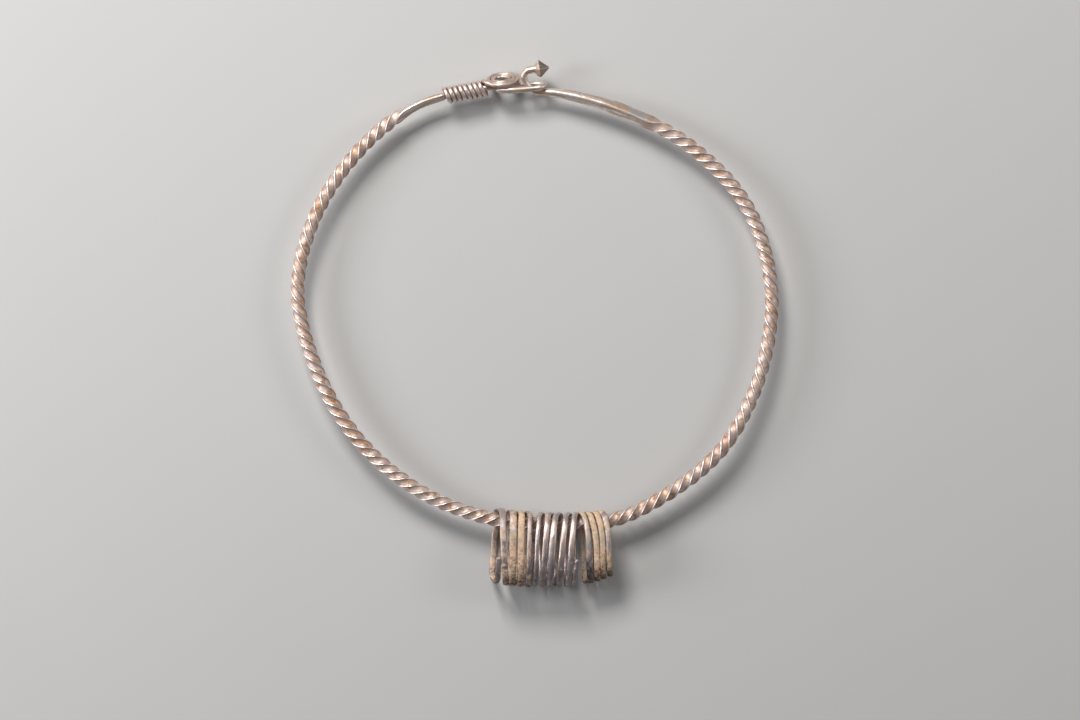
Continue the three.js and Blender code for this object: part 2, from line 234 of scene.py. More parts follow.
def rodForm():
    # the rod's stations from the loop's tip to the knob's neck: place, half width, face share and twist
    binding = np.array(rod["binding"])
    bend = np.array(ring["bend"], float)
    claspKeys = [*rod["hairpin"], *[[*p, rod["core"]] for p in (binding[1], binding.mean(0), binding[0])],
                 [*rod["neckPlace"], rod["leftNeck"]]]
    keys = np.vstack([byClasp(claspKeys), byBearing(bend[:, 0], bend[:, 1]), byClasp(rod["hook"])])
    first, last = len(claspKeys), len(claspKeys) + len(bend) - 1
    spans = np.linalg.norm(np.diff(keys, axis=0), axis=1)
    onRing = (np.arange(len(spans)) >= first) & (np.arange(len(spans)) < last)
    counts = np.ceil(spans / np.where(onRing, rod["ringStep"], rod["plainStep"])).astype(int)
    span = np.repeat(np.arange(len(spans)), counts)
    t = (np.arange(counts.sum()) - np.repeat(np.cumsum(counts) - counts, counts)) / counts[span]
    span, t = np.append(span, len(spans) - 1), np.append(t, 1.0)
    place = smoothLine(keys, span, t)
    key = span + t
    # bearings are 0 and 999 off the ring
    bearing = np.interp(key, np.arange(first, last + 1), bend[:, 0], left=0, right=999)
    inFrom, inTo, outFrom, outTo = rod["twist"]
    twist = ease(bearing, inFrom, inTo) - ease(bearing, outFrom, outTo)
    tail = [p[3] for p in rod["hook"]]
    halfKeys = [p[3] for p in claspKeys] + [rod["leftNeck"]] * len(bend) + tail
    plain = np.interp(key, np.arange(len(keys)), halfKeys)
    shoulder = rod["rightShoulder"] + (tail[0] - rod["rightShoulder"]) * ease(bearing, *rod["shoulder"])
    rightEnd = np.interp(key, [last, last + 1], [shoulder[key <= last][-1], tail[0]])
    plain = np.where((bearing > rod["shoulderSide"]) & (key <= last), shoulder, plain)
    plain = np.where((key > last) & (key < last + 1), rightEnd, plain)
    half = plain + (rod["ridge"] - plain) * twist
    flankKeys = [1.0] * (len(claspKeys) - 1) + [rod["plainFlank"]] * (len(bend) + 1) + [1.0] * len(tail)
    flank = np.interp(key, np.arange(len(keys)), flankKeys)
    flank += (rod["flank"] - flank) * twist
    gone = np.linalg.norm(place - place[0], axis=1)
    half *= np.sqrt(1 - (1 - np.clip(gone / rod["tip"], 0.01, 1)) ** 2)
    print("rod laid out,", len(place), "stations")
    return {"place": place, "half": half, "flank": flank, "twist": twist, "bearing": bearing}


form = rodForm()


def makeRod():
    # ring of points at each station: a square with sides at flank times the half width, met by a circle
    # of the half width, so its corners are worn ridges; the square turns with the length of rod passed
    place, half, flank, twist, bearing = (form[k] for k in ("place", "half", "flank", "twist", "bearing"))
    tangent = tangentsOf(place)
    middle = int(np.argmin(abs(bearing - rod["turnedAt"])))
    side, across = carriedSides(tangent, (0, 0, 1), middle)
    lead = np.interp(bearing, *np.array(rod["leads"], float).T)
    passed = np.linalg.norm(np.diff(place, axis=0, prepend=place[:1]), axis=1)
    turned = -np.cumsum(twist * passed / lead) * 2 * np.pi
    turned += np.radians(np.interp(bearing, *np.array(rod["uneven"], float).T)) - turned[middle]
    offset = np.array(rod["offsets"], float)
    offset = np.concatenate([-45 + 0 * offset[:1], -offset[:0:-1], offset])
    ridgeAt = np.repeat(np.arange(4) * 90.0, len(offset))
    offset = np.tile(offset, 4)
    angle = np.radians(ridgeAt + offset) + turned[:, None]
    fromFlank = np.radians(45 - abs(offset))
    square = flank[:, None] / np.cos(fromFlank)
    power = rod["sharpness"]
    radius = half[:, None] * (square ** -power + 1) ** (-1 / power)
    rings = sweep(place, side, across, angle, radius)
    # hollows beside the ridges, hammer waves along the faces and small dents all over
    beside = peak(abs(offset), rod["hollowAt"], rod["hollowWidth"]) * twist[:, None]
    wave = sum(lumps(rings, size, seed) * height for size, height, seed in rod["waves"])
    rings += outwardOf(rings) * (wave * half[:, None] ** 0.5 - beside * rod["hollowDepth"])[..., None]
    # the knob: a bevel from the neck to its four-sided base, then a pyramid with a blunt point
    outline = np.array(rod["knob"])
    ahead = np.arange(*outline[[0, -1], 0], rod["knobStep"])
    ahead = np.unique(np.concatenate([ahead, outline[:, 0]]))[:, None]
    knobFlank = 1 + (rod["knobFlank"] - 1) * ease(ahead, 0, outline[1, 0])
    square = knobFlank / np.cos(fromFlank)
    power = rod["knobSharpness"]
    radius = np.interp(ahead, *outline.T) * (square ** -power + 1) ** (-1 / power)
    side, across, headAngle = (v[-1:].repeat(len(ahead), 0) for v in (side, across, angle))
    head = sweep(place[-1] + tangent[-1] * ahead, side, across, headAngle, radius)
    size, height, seed = rod["knobWave"]
    head += outwardOf(head) * (lumps(head, size, seed) * height)[..., None]
    rings = np.concatenate([rings, head])
    # streaks run along the rod: lumps over the angle round it and a share of the length passed
    angle = np.concatenate([angle, headAngle])
    middles = rings.mean(1)
    along = np.cumsum(np.linalg.norm(np.diff(middles, axis=0, prepend=middles[:1]), axis=1))
    along = along[:, None] / rod["streakStretch"] + 0 * angle
    streakAt = np.stack([np.cos(angle) * 2, np.sin(angle) * 2, along], -1)
    twistAll = np.concatenate([twist, np.zeros(len(head))])[:, None]
    onPyramid = np.concatenate([0 * half, ahead[:, 0] > rod["pyramidFrom"]])[:, None]
    paint = {
        "ridge": peak(abs(offset), 0, rod["bareWidth"]) * twistAll,
        # tarnish and painted shade in the hollows beside the ridges
        "hollowTarnishShade": peak(abs(offset), rod["tarnishShadeAt"], rod["tarnishShadeWidth"]) * twistAll,
        "plainEnd": 1 - twistAll + 0 * offset,
        "streak": 0.5 + 0.5 * lumps(streakAt, rod["streakSize"], rod["streakSeed"]),
        "tarnish": onPyramid * (1 - (1 - rod["edgeLeft"]) * peak(abs(offset), 0, rod["edgeWidth"])),
    }
    return skinOf("torc_rod_silver", rings, paint, 38)


# the binding wire and its eyelet

binding = {
    "wire": 1.52, "turns": 8, "gap": 0.38,
    "wander": [(0.049, 0.93 * 2 * math.pi, 1), (0.028, 4.1, 0)],  # uneven pitch: turns, rate and start
    "tilt": 0.35,  # each turn leans: back on the rod's outer side and forward on its inner side
    "leadOut": [-16.0, 2.75, 1.75],  # between the last turn and the eyelet, by the clasp
    "eyeletWire": 1.36, "eyeletEnd": 0.8,  # the end is that share of the wire
    "eyeletCentre": [-11.05, 4.2, -1.45],
    "eyelet": [  # turns passed, and distance from its middle
        [0, 5.65], [0.36, 5.15], [0.86, 4.5], [1.36, 3.85], [1.86, 3.1], [2.36, 2.55], [2.72, 2.2]],
    "eyeletFrom": 130,  # degrees round it where it begins, on its near left
    "lean": 64.5, "roll": 5,  # degrees that it stands up, and that its long way rises to the right
    "turnSteps": 16, "eyeletSteps": 64, "between": 5, "around": 24,
    "endReach": 0.45,
    "waves": [[3.2, 0.025, 21], [1.2, 0.012, 22]],  # size, height, seed
}


def makeBinding():
    # a round wire along a helix round the rod's core, then along a flat circle whose radius follows a
    # table over its turns
    start, end = byClasp(rod["binding"])
    axis = end - start
    forward = axis / np.linalg.norm(axis)
    up = np.cross([0, 0, 1], forward)
    up /= np.linalg.norm(up)
    front = np.cross(forward, up)
    radius = rod["core"] + binding["gap"] + binding["wire"] / 2
    turn = np.linspace(0.02, binding["turns"], binding["turns"] * binding["turnSteps"])
    angle = turn * 2 * np.pi
    wander = sum(size * np.sin(turn * rate + begin) for size, rate, begin in binding["wander"])
    helix = (start + axis * ((turn + wander) / binding["turns"])[:, None]
             - forward * (binding["tilt"] * np.cos(angle))[:, None]
             + up * (radius * np.cos(angle))[:, None] + front * (radius * np.sin(angle))[:, None])
    lean, roll = math.radians(binding["lean"]), math.radians(binding["roll"])
    long = np.array([math.cos(roll), math.sin(roll), 0])
    near = np.array([math.sin(roll) * math.cos(lean), -math.cos(roll) * math.cos(lean), math.sin(lean)])
    turn = np.linspace(0, binding["eyelet"][-1][0], binding["eyeletSteps"])
    angle = math.radians(binding["eyeletFrom"]) - turn * 2 * np.pi
    reach = np.interp(turn, *np.array(binding["eyelet"]).T)
    circle = (byClasp([binding["eyeletCentre"]]) + long * (reach * np.cos(angle))[:, None]
              + near * (reach * np.sin(angle))[:, None])
    keys = np.vstack([helix, byClasp([binding["leadOut"]]), circle])
    fine = binding["between"]
    span = np.append(np.repeat(np.arange(len(keys) - 1), fine), len(keys) - 2)
    t = np.append(np.tile(np.arange(fine) / fine, len(keys) - 1), 1.0)
    path = smoothLine(keys, span, t)
    key = span + t
    tangent = tangentsOf(path)
    side, across = carriedSides(tangent, (0, 1, 0))
    wire = np.interp(key, [len(helix) - 1, len(helix) + 1], [binding["wire"] / 2, binding["eyeletWire"] / 2])
    wire *= np.interp(key, [len(keys) - 12, len(keys) - 1], [1, binding["eyeletEnd"]])
    angle = np.linspace(0, 2 * np.pi, binding["around"], endpoint=False) + np.zeros((len(path), 1))
    rings = sweep(path, side, across, angle, wire[:, None] + 0 * angle)
    rings = roundEnds(rings, binding["endReach"])
    wave = sum(lumps(rings, size, seed) * height for size, height, seed in binding["waves"])
    rings += outwardOf(rings) * wave[..., None]
    inEyelet = ease(key, len(helix) - 4, len(helix) + 2)[:, None]
    # the side of the wire that faces its neighbour or the core is darkened by tarnish and painted shade
    normal = outwardOf(rings)
    fromCore = rings - start - forward * ((rings - start) @ forward)[..., None]
    outside = (normal * fromCore).sum(-1) / np.linalg.norm(fromCore, axis=-1)
    upright = abs(normal @ np.cross(long, near))
    grooveTarnishShade = (1 - ease(outside, 0.15, 0.9)) * (1 - inEyelet) + (1 - ease(upright, 0.2, 0.75)) * inEyelet
    paint = {
        "ridge": ease(outside, 0.7, 1) * (1 - inEyelet),
        "hollowTarnishShade": grooveTarnishShade,
        "plainEnd": inEyelet,
        "tarnish": 0,
        "streak": 0.5,
    }
    return skinOf("binding_wire_silver", rings, paint)


def roundEnds(rings, reach):
    # draws the last few rings at each end in towards their middle, on a quarter circle of the given reach
    for order in (1, -1):
        view = rings[::order]
        middle = view.mean(1, keepdims=True)
        gone = np.linalg.norm(middle[:, 0] - middle[0, 0], axis=1)
        near = slice(0, int((gone < reach).sum()) + 1)
        share = np.clip(1 - gone[near] / reach, 0, 0.93)
        view[near] = middle[near] + (view[near] - middle[near]) * np.sqrt(1 - share ** 2)[:, None, None]
    return rings


# the loose spirals of flattened wire

# phases are in turns: whole ones are on the rod's inner side and halves at the foot. turns gives X, widths
# the wire's width, and sand, soot and green how much of each lies on the wire, all over the phase.
# hand is the way it winds, depth its size upwards, heights its size along Y at its two ends, squareness
# that of the wire's section, under how dark its foot is, by dirt and painted shade, and paintedHighlight how
# bright the painted highlight line on its front is
spiralShape = {
    "gap": 0.45,  # between the rod's ridges and the wire on them
    "ovalPower": 2.35,  # 2 gives an elliptical turn, more a squarer one
    "flatSpot": 0.15,  # wire worn away where it lies on the floor
    "lean": 1.1,  # how far a strand that goes over the rod leans towards the turn behind it
    "steps": 190, "around": 28, "endReach": 0.3,
    "wander": (2.2, 0.12), "widthWave": (1.6, 0.05),  # size, and millimetres or share of the width
    "dent": (3.5, 0.035),  # size, height
    "grit": (0.9, 0.55), "gritHeight": (0.012, 0.055),  # sizes, and height on bare wire and on crust
    "crustFrom": 72, "crustTo": 84,  # crust and the painted foot shade grow towards the foot, by the distance from the middle
    "paintedFootShadeFrom": 73, "paintedFootShadeTo": 82,
    "paintedHighlightPatch": (5.0, 0.35, 0.6),  # size, level and swing of the patches of the painted highlight line
    "sandPatch": (4.0, 1.7, 0.22),  # two sizes and the swing
    "sootPatch": (3.0, 0.16), "greenPatch": (2.4, 0.2),  # size and swing
}
spirals = [
    {
        "name": "wire_spiral_left", "hand": 1, "depth": 17, "heights": (25.1, 25.1), "thickness": 1.2,
        "ends": (4.5 / 16, 76.5 / 16), "seed": 31, "squareness": 2.9, "roughness": 0.42,
        "under": 0.45, "paintedHighlight": 0.45,
        "turns": [[0.25, -11.9], [0.4, -12.3], [0.5, -13.1], [0.62, -14.5], [0.75, -14.0], [0.9, -11.9],
                  [1, -10.7], [1.5, -9.8], [2, -7.25], [2.5, -7.6], [3, -4.45], [3.5, -4.8], [4, -1.6],
                  [4.5, -2.6], [5, 0.2]],
        "widths": [[0, 1.75], [0.5, 1.8], [0.7, 2.2], [1, 2.2], [2.25, 2.4], [3.25, 2.15], [4.25, 1.65],
                   [5, 1.5]],
        "sand": [[0, 0.3], [0.42, 0.4], [0.5, 0.6], [0.6, 0.5], [0.75, 0.4], [1, 0.2], [1.25, 0.28],
                 [1.38, 0.66], [1.5, 0.75], [1.75, 0.3], [2, 0.42], [2.25, 0.66], [2.5, 0.85], [2.75, 0.5],
                 [3, 0.9], [3.25, 0.97], [3.5, 0.9], [3.75, 0.5], [4, 0.42], [4.12, 0.3], [4.5, 0.5],
                 [5, 0.3]],
        "soot": [[0, 0.3], [0.5, 0.4], [0.65, 0.1], [0.8, 0.2], [0.9, 0.6], [1, 0.25], [1.25, 0.2],
                 [1.5, 0.3], [2, 0.2], [2.3, 0.12], [3, 0.05], [3.5, 0.1], [4, 0.35], [4.5, 0.45], [5, 0.6]],
        "green": [[0, 0.55], [0.3, 0.5], [0.4, 0.25], [0.5, 0.3], [0.9, 0.1], [1, 0.25], [1.3, 0.15],
                  [2, 0.12], [2.5, 0.2], [3, 0.03], [4, 0.1], [5, 0.05]],
    },
    {
        "name": "wire_spiral_middle", "hand": -1, "depth": 17, "heights": (24.6, 24.6), "thickness": 1.05,
        "ends": (8.5 / 16, 91.5 / 16), "seed": 32, "squareness": 2.25, "roughness": 0.33,
        "under": 0.6, "paintedHighlight": 1,
        "turns": [[0.5, -0.25], [1, 1.3], [1.5, 2.1], [2, 4.3], [2.5, 4.25], [3, 6.95], [3.42, 6.5],
                  [3.58, 7.9], [4, 10.25], [4.5, 10.4], [5, 13.0], [5.3, 12.5], [5.5, 11.9], [5.75, 13.9]],
        "widths": [[0, 1.5], [0.75, 1.55], [1.75, 1.95], [2.75, 2.15], [3.8, 2.0], [4.75, 2.0],
                   [5.45, 1.9], [5.6, 1.45], [6, 1.35]],
        "sand": [[0, 0.2], [0.75, 0.12], [1.5, 0.3], [1.8, 0.1], [2, 0.3], [2.5, 0.3], [2.75, 0.12],
                 [3, 0.25], [3.5, 0.45], [3.7, 0.12], [4, 0.06], [4.5, 0.35], [4.8, 0.06], [5, 0.08],
                 [5.5, 0.2]],
        "soot": [[0, 0.5], [0.6, 0.55], [0.8, 0.15], [1, 0.1], [1.5, 0.45], [1.8, 0.1], [2.5, 0.45],
                 [2.8, 0.1], [3.5, 0.4], [3.8, 0.1], [4.5, 0.4], [4.8, 0.1], [5.5, 0.2]],
        "green": [[0, 0.02], [2.9, 0.05], [3, 0.25], [3.1, 0.05], [6, 0.02]],
    },
    {
        "name": "wire_spiral_right", "hand": 1, "depth": 15, "heights": (24.2, 22.4), "thickness": 1.2,
        "ends": (8.5 / 16, 74.5 / 16), "seed": 33, "squareness": 2.6, "roughness": 0.45,
        "under": 1, "paintedHighlight": 0.3,
        "turns": [[0.5, 16.4], [1, 15.45], [1.25, 17.6], [1.5, 18.35], [2, 17.65], [2.25, 19.85],
                  [2.5, 20.4], [3, 19.8], [3.25, 21.95], [3.5, 22.5], [4, 21.95], [4.25, 24.05],
                  [4.5, 24.6], [5, 24.2]],
        "widths": [[0, 1.7], [1, 1.75], [1.25, 1.85], [2.25, 1.95], [3.25, 1.9], [4.25, 1.9], [5, 1.8]],
        "sand": [[0, 0.55], [0.75, 0.5], [1, 0.7], [1.1, 0.5], [1.2, 0.25], [1.35, 0.25], [1.5, 0.5],
                 [1.75, 0.5], [2, 0.75], [2.2, 0.9], [2.35, 0.85], [2.75, 0.6], [3, 0.85], [3.25, 0.85],
                 [3.5, 0.8], [3.75, 0.6], [4, 0.8], [4.1, 0.4], [4.16, 0.55], [4.25, 0.45], [4.32, 0.75],
                 [4.45, 0.9], [5, 0.6]],
        "soot": [[0, 0.3], [1, 0.1], [1.2, 0.2], [1.35, 0.8], [1.5, 0.7], [1.75, 0.4], [2, 0.08],
                 [2.3, 0.12], [2.5, 0.4], [3, 0.08], [3.3, 0.2], [3.5, 0.45], [4, 0.12], [4.25, 0.3],
                 [4.5, 0.4], [5, 0.4]],
        "green": [[0, 0.2], [0.75, 0.45], [1, 0.55], [1.12, 0.45], [1.3, 0.35], [1.75, 0.35], [2, 0.7],
                  [2.1, 0.35], [2.3, 0.15], [2.5, 0.35], [3, 0.2], [3.3, 0.3], [3.45, 0.6], [4, 0.25],
                  [4.2, 0.35], [4.5, 0.55], [5, 0.4]],
    },
]


def rodYAt(x):
    # the rod's Y at a given X on its lower half
    low = form["place"][form["place"][:, 1] < 0]
    return np.interp(x, low[:, 0], low[:, 1])


def rooted(v, power):
    # root of the size of v, with its sign kept
    return np.sign(v) * abs(v) ** (2 / power)


def makeSpiral(spiral):
    # flattened wire along an oval turn: Y follows a root of the cosine and Z a root of the sine of the
    # phase, X a table over the phase; its section is a rounded rectangle, thickness outward by width
    count = int(spiralShape["steps"] * (spiral["ends"][1] - spiral["ends"][0]))
    phase = np.linspace(*spiral["ends"], count)
    share = np.linspace(0, 1, count)
    thick = spiral["thickness"]
    line = np.stack([phase * 5, 0 * phase, 0 * phase], -1)
    c, n = np.cos(phase * 2 * np.pi), np.sin(phase * 2 * np.pi)
    behind = 1 - ease(spiral["hand"] * n, -0.45, 0.45)
    size, swing = spiralShape["wander"]
    x = alongTable(spiral["turns"], phase) + swing * lumps(line, size, spiral["seed"])
    x -= spiral["hand"] * spiralShape["lean"] * behind * ease(c, 0.45, 0.95)
    halfDepth = (spiral["depth"] - thick) / 2
    halfHeight = (spiral["heights"][0] + (spiral["heights"][1] - spiral["heights"][0]) * share - thick) / 2
    top = rodYAt(x + ring["middle"][0]) + rod["ridge"] + spiralShape["gap"] + thick / 2
    y = top - halfHeight + halfHeight * rooted(c, spiralShape["ovalPower"])
    z = spiral["depth"] / 2 - spiralShape["flatSpot"]
    z = z + spiral["hand"] * halfDepth * rooted(n, spiralShape["ovalPower"])
    path = np.stack([x + ring["middle"][0], y, z], -1)
    tangent = tangentsOf(path)
    outward = np.stack([0 * c, c / halfHeight, spiral["hand"] * n / halfDepth], -1)
    outward -= tangent * (outward * tangent).sum(1)[:, None]
    outward /= np.linalg.norm(outward, axis=1)[:, None]
    across = np.cross(tangent, outward)
    angle = np.linspace(0, 2 * np.pi, spiralShape["around"], endpoint=False)
    size, swing = spiralShape["widthWave"]
    width = alongTable(spiral["widths"], phase) * (1 + swing * lumps(line, size, spiral["seed"] + 5))
    a = rooted(np.cos(angle), spiral["squareness"]) * thick / 2
    b = rooted(np.sin(angle), spiral["squareness"]) * width[:, None] / 2
    rings = path[:, None] + outward[:, None] * a[None, :, None] + across[:, None] * b[..., None]
    rings = roundEnds(rings, spiralShape["endReach"])
    normal = outwardOf(rings)
    # dents all over, and grit that grows with the crust of sand towards the foot
    sand, soot, green = (np.clip(alongTable(spiral[key], phase), 0, 1) for key in ("sand", "soot", "green"))
    size, level, swing = spiralShape["paintedHighlightPatch"]
    paintedHighlight = np.clip(level + swing * lumps(line, size, spiral["seed"] + 11), 0, 1) * (1 - 0.75 * soot)
    sand, soot, green, paintedHighlight = (v[:, None] for v in (sand, soot, green, paintedHighlight))
    coarse, fine = spiralShape["grit"]
    grit = lumps(rings, coarse, spiral["seed"] + 1) * 0.5 + lumps(rings, fine, spiral["seed"] + 2) * 0.5
    size, height = spiralShape["dent"]
    dents = lumps(rings, size, spiral["seed"] + 3) * height
    crust = sand * ease(-rings[..., 1], spiralShape["crustFrom"], spiralShape["crustTo"])
    bareGrit, crustGrit = spiralShape["gritHeight"]
    rings = rings + normal * (dents + grit * (bareGrit + crustGrit * crust))[..., None]
    wide, narrow, sandSwing = spiralShape["sandPatch"]
    patches = lumps(rings, wide, spiral["seed"] + 7) * 0.6 + lumps(rings, narrow, spiral["seed"] + 8) * 0.4
    size, sootSwing = spiralShape["sootPatch"]
    sootPatches = lumps(rings, size, spiral["seed"] + 9)
    size, greenSwing = spiralShape["greenPatch"]
    greenPatches = lumps(rings, size, spiral["seed"] + 10)
    # a painted highlight: a bright line down the front of the wire
    paintedHighlightLine = peak(np.sin(angle) * spiral["hand"], 0.25, 0.26) * (np.cos(angle) > 0)
    paint = {
        "sand": np.clip(sand + patches * sandSwing, 0, 1),
        "soot": np.clip(soot + sootPatches * sootSwing, 0, 1),
        "green": np.clip(green + greenPatches * greenSwing, 0, 1),
        "crust": crust,
        "edge": peak(abs(np.cos(angle)), 0.62, 0.25),
        # painted shade on the sides of the wire, where strands meet
        "flank": ease(abs(np.sin(angle)), 0.86, 0.99),
        # dirt and painted shade on the down-facing wire near the foot
        "under": ease(-normal[..., 1], 0.35, 0.9) * ease(-rings[..., 1], 70, 80) * spiral["under"],
        "streak": paintedHighlightLine * paintedHighlight * spiral["paintedHighlight"],
        # painted shade, growing towards the foot
        "paintedFootShade": ease(-rings[..., 1], spiralShape["paintedFootShadeFrom"], spiralShape["paintedFootShadeTo"]),
    }
    return skinOf(spiral["name"] + "_silver", rings, paint)


# finishes

def nodeOf(tree, kind, inputs=(), **settings):
    made = tree.nodes.new(kind)
    for key, value in settings.items():
        setattr(made, key, value)
    for key, value in dict(inputs).items():
        if isinstance(value, bpy.types.NodeSocket):
            tree.links.new(value, made.inputs[key])
        else:
            made.inputs[key].default_value = value
    return made


def noiseOf(tree, where, scale, detail=4.0, roughness=0.6):
    return nodeOf(tree, "ShaderNodeTexNoise", {"Vector": where, "Scale": scale, "Detail": detail,
                                               "Roughness": roughness}).outputs["Fac"]


def rangeOf(tree, value, low, high, toLow=0.0, toHigh=1.0):
    return nodeOf(tree, "ShaderNodeMapRange", {"Value": value, "From Min": low, "From Max": high,
                                               "To Min": toLow, "To Max": toHigh}, clamp=True).outputs[0]


def mathOf(tree, operation, a, b):
    # the answer is held between 0 and 1
    return nodeOf(tree, "ShaderNodeMath", {0: a, 1: b}, operation=operation, use_clamp=True).outputs[0]


def timesOf(tree, a, b):
    return mathOf(tree, "MULTIPLY", a, b)


def sumOf(tree, a, b):
    return mathOf(tree, "ADD", a, b)


def mostOf(tree, a, b):
    return mathOf(tree, "MAXIMUM", a, b)


def blendOf(tree, share, a, b):
    made = nodeOf(tree, "ShaderNodeMix", {"Factor": share}, data_type="RGBA")
    for socket, value in ((made.inputs[6], a), (made.inputs[7], b)):
        if isinstance(value, bpy.types.NodeSocket):
            tree.links.new(value, socket)
        else:
            socket.default_value = (*value, 1)
    return made.outputs[2]


def paintOf(tree, name):
    return nodeOf(tree, "ShaderNodeAttribute", attribute_name=name).outputs["Fac"]


def newFinish(name):
    material = bpy.data.materials.new(name)
    material.use_nodes = True
    tree = material.node_tree
    where = nodeOf(tree, "ShaderNodeTexCoord").outputs["Object"]
    return material, tree, tree.nodes["Principled BSDF"], where


rodFinish = {
    "band": (0.60, 0.385, 0.27), "bandPale": (0.73, 0.57, 0.485), "silver": (0.92, 0.85, 0.83),
    "mauve": (0.54, 0.44, 0.44), "tarnishShade": (0.11, 0.050, 0.022), "ochre": (0.31, 0.16, 0.075),
    "tarnish": (0.20, 0.150, 0.130), "end": (0.52, 0.385, 0.28),
    "bare": 0.85,  # how much of a plain end its brightest streaks lay bare
    "cloud": 90, "patch": 420, "speck": 2300,  # noise scales, to a metre
    "bumpStrength": 0.5, "bumpHeight": 0.00016,
}
bindingFinish = {**rodFinish, "band": (0.43, 0.275, 0.185), "silver": (0.78, 0.68, 0.66),
                 "tarnishShade": (0.25, 0.118, 0.045), "end": (0.51, 0.365, 0.26)}


def finishSurface(tree, shader, look, color, metallic, roughness, height):
    # joins the worked-out colour, metal, roughness and height of a finish to its shader
    bump = nodeOf(tree, "ShaderNodeBump", {"Height": height, "Strength": look["bumpStrength"],
                                           "Distance": look["bumpHeight"]})
    for key, value in (("Base Color", color), ("Metallic", metallic), ("Roughness", roughness),
                       ("Normal", bump.outputs[0])):
        tree.links.new(value, shader.inputs[key])


def warmSilver(name, look):
    # tan tarnish on the faces, bare silver along the ridges and dark brown in the hollows beside them, as
    # tarnish and painted shade
    material, tree, shader, where = newFinish(name)
    ridge, hollowTarnishShade, plain, tarnish, streak = (
        paintOf(tree, k) for k in ("ridge", "hollowTarnishShade", "plainEnd", "tarnish", "streak"))
    cloud = noiseOf(tree, where, look["cloud"], 3)
    patch = noiseOf(tree, where, look["patch"], 5, 0.65)
    speck = noiseOf(tree, where, look["speck"], 4, 0.7)
    # the faces: tan, paler in clouds and mauve in patches, then the plain ends' own tone and ochre stains
    color = blendOf(tree, rangeOf(tree, cloud, 0.42, 0.58), look["band"], look["bandPale"])
    color = blendOf(tree, rangeOf(tree, patch, 0.51, 0.60, 0, 0.85), color, look["mauve"])
    color = blendOf(tree, timesOf(tree, plain, 0.85), color, look["end"])
    stain = timesOf(tree, rangeOf(tree, patch, 0.38, 0.47, 0.75, 0), rangeOf(tree, plain, 0, 1, 1, 0.35))
    color = blendOf(tree, stain, color, look["ochre"])
    # dark brown in the hollows: tarnish and painted shade, broken up by noise
    tarnishAndShade = timesOf(tree, hollowTarnishShade, rangeOf(tree, patch, 0.35, 0.62, 0.45, 1.0))
    color = blendOf(tree, tarnishAndShade, color, look["tarnishShade"])
    # worn bright: the ridges, and streaks along the plain ends
    streaky = sumOf(tree, streak, rangeOf(tree, patch, 0.35, 0.65, 0.25, -0.25))
    bare = timesOf(tree, plain, rangeOf(tree, streaky, 0.25, 0.8, 0.1, look["bare"]))
    worn = mostOf(tree, timesOf(tree, ridge, rangeOf(tree, speck, 0.3, 0.6, 0.7, 1.0)), bare)
    color = blendOf(tree, worn, color, look["silver"])
    dull = timesOf(tree, tarnish, rangeOf(tree, patch, 0.3, 0.7, 0.95, 0.55))
    color = blendOf(tree, dull, color, look["tarnish"])
    color = blendOf(tree, rangeOf(tree, speck, 0.60, 0.72, 0, 0.6), color, look["ochre"])
    metallic = mathOf(tree, "SUBTRACT", rangeOf(tree, mostOf(tree, worn, plain), 0, 1, 0.62, 0.95),
                      rangeOf(tree, tarnishAndShade, 0, 1, 0, 0.4))
    roughness = sumOf(tree, rangeOf(tree, worn, 0, 1, 0.5, 0.3), rangeOf(tree, speck, 0.35, 0.7, -0.05, 0.12))
    height = sumOf(tree, timesOf(tree, speck, 0.5), timesOf(tree, patch, 0.5))
    finishSurface(tree, shader, look, color, metallic, roughness, height)
    return material


spiralFinish = {
    "silver": (0.54, 0.435, 0.40), "pale": (0.78, 0.62, 0.50), "violet": (0.31, 0.265, 0.285),
    # streak is the colour of the painted highlight line
    "streak": (0.95, 0.88, 0.86),
    "sand": (0.58, 0.385, 0.25), "sandPale": (0.71, 0.53, 0.39), "sandDull": (0.43, 0.36, 0.27),
    "ochre": (0.25, 0.13, 0.065), "rust": (0.26, 0.125, 0.055), "pitAndShade": (0.055, 0.036, 0.026),
    "soot": (0.040, 0.036, 0.042), "green": (0.27, 0.29, 0.17), "blueGreen": (0.13, 0.29, 0.27),
    "crustRoughness": 0.82,
    "cloud": 160, "patch": 520, "grain": 1150, "speck": 2000,  # noise scales, to a metre
    "bumpStrength": 0.7, "bumpHeight": 0.0003,
}


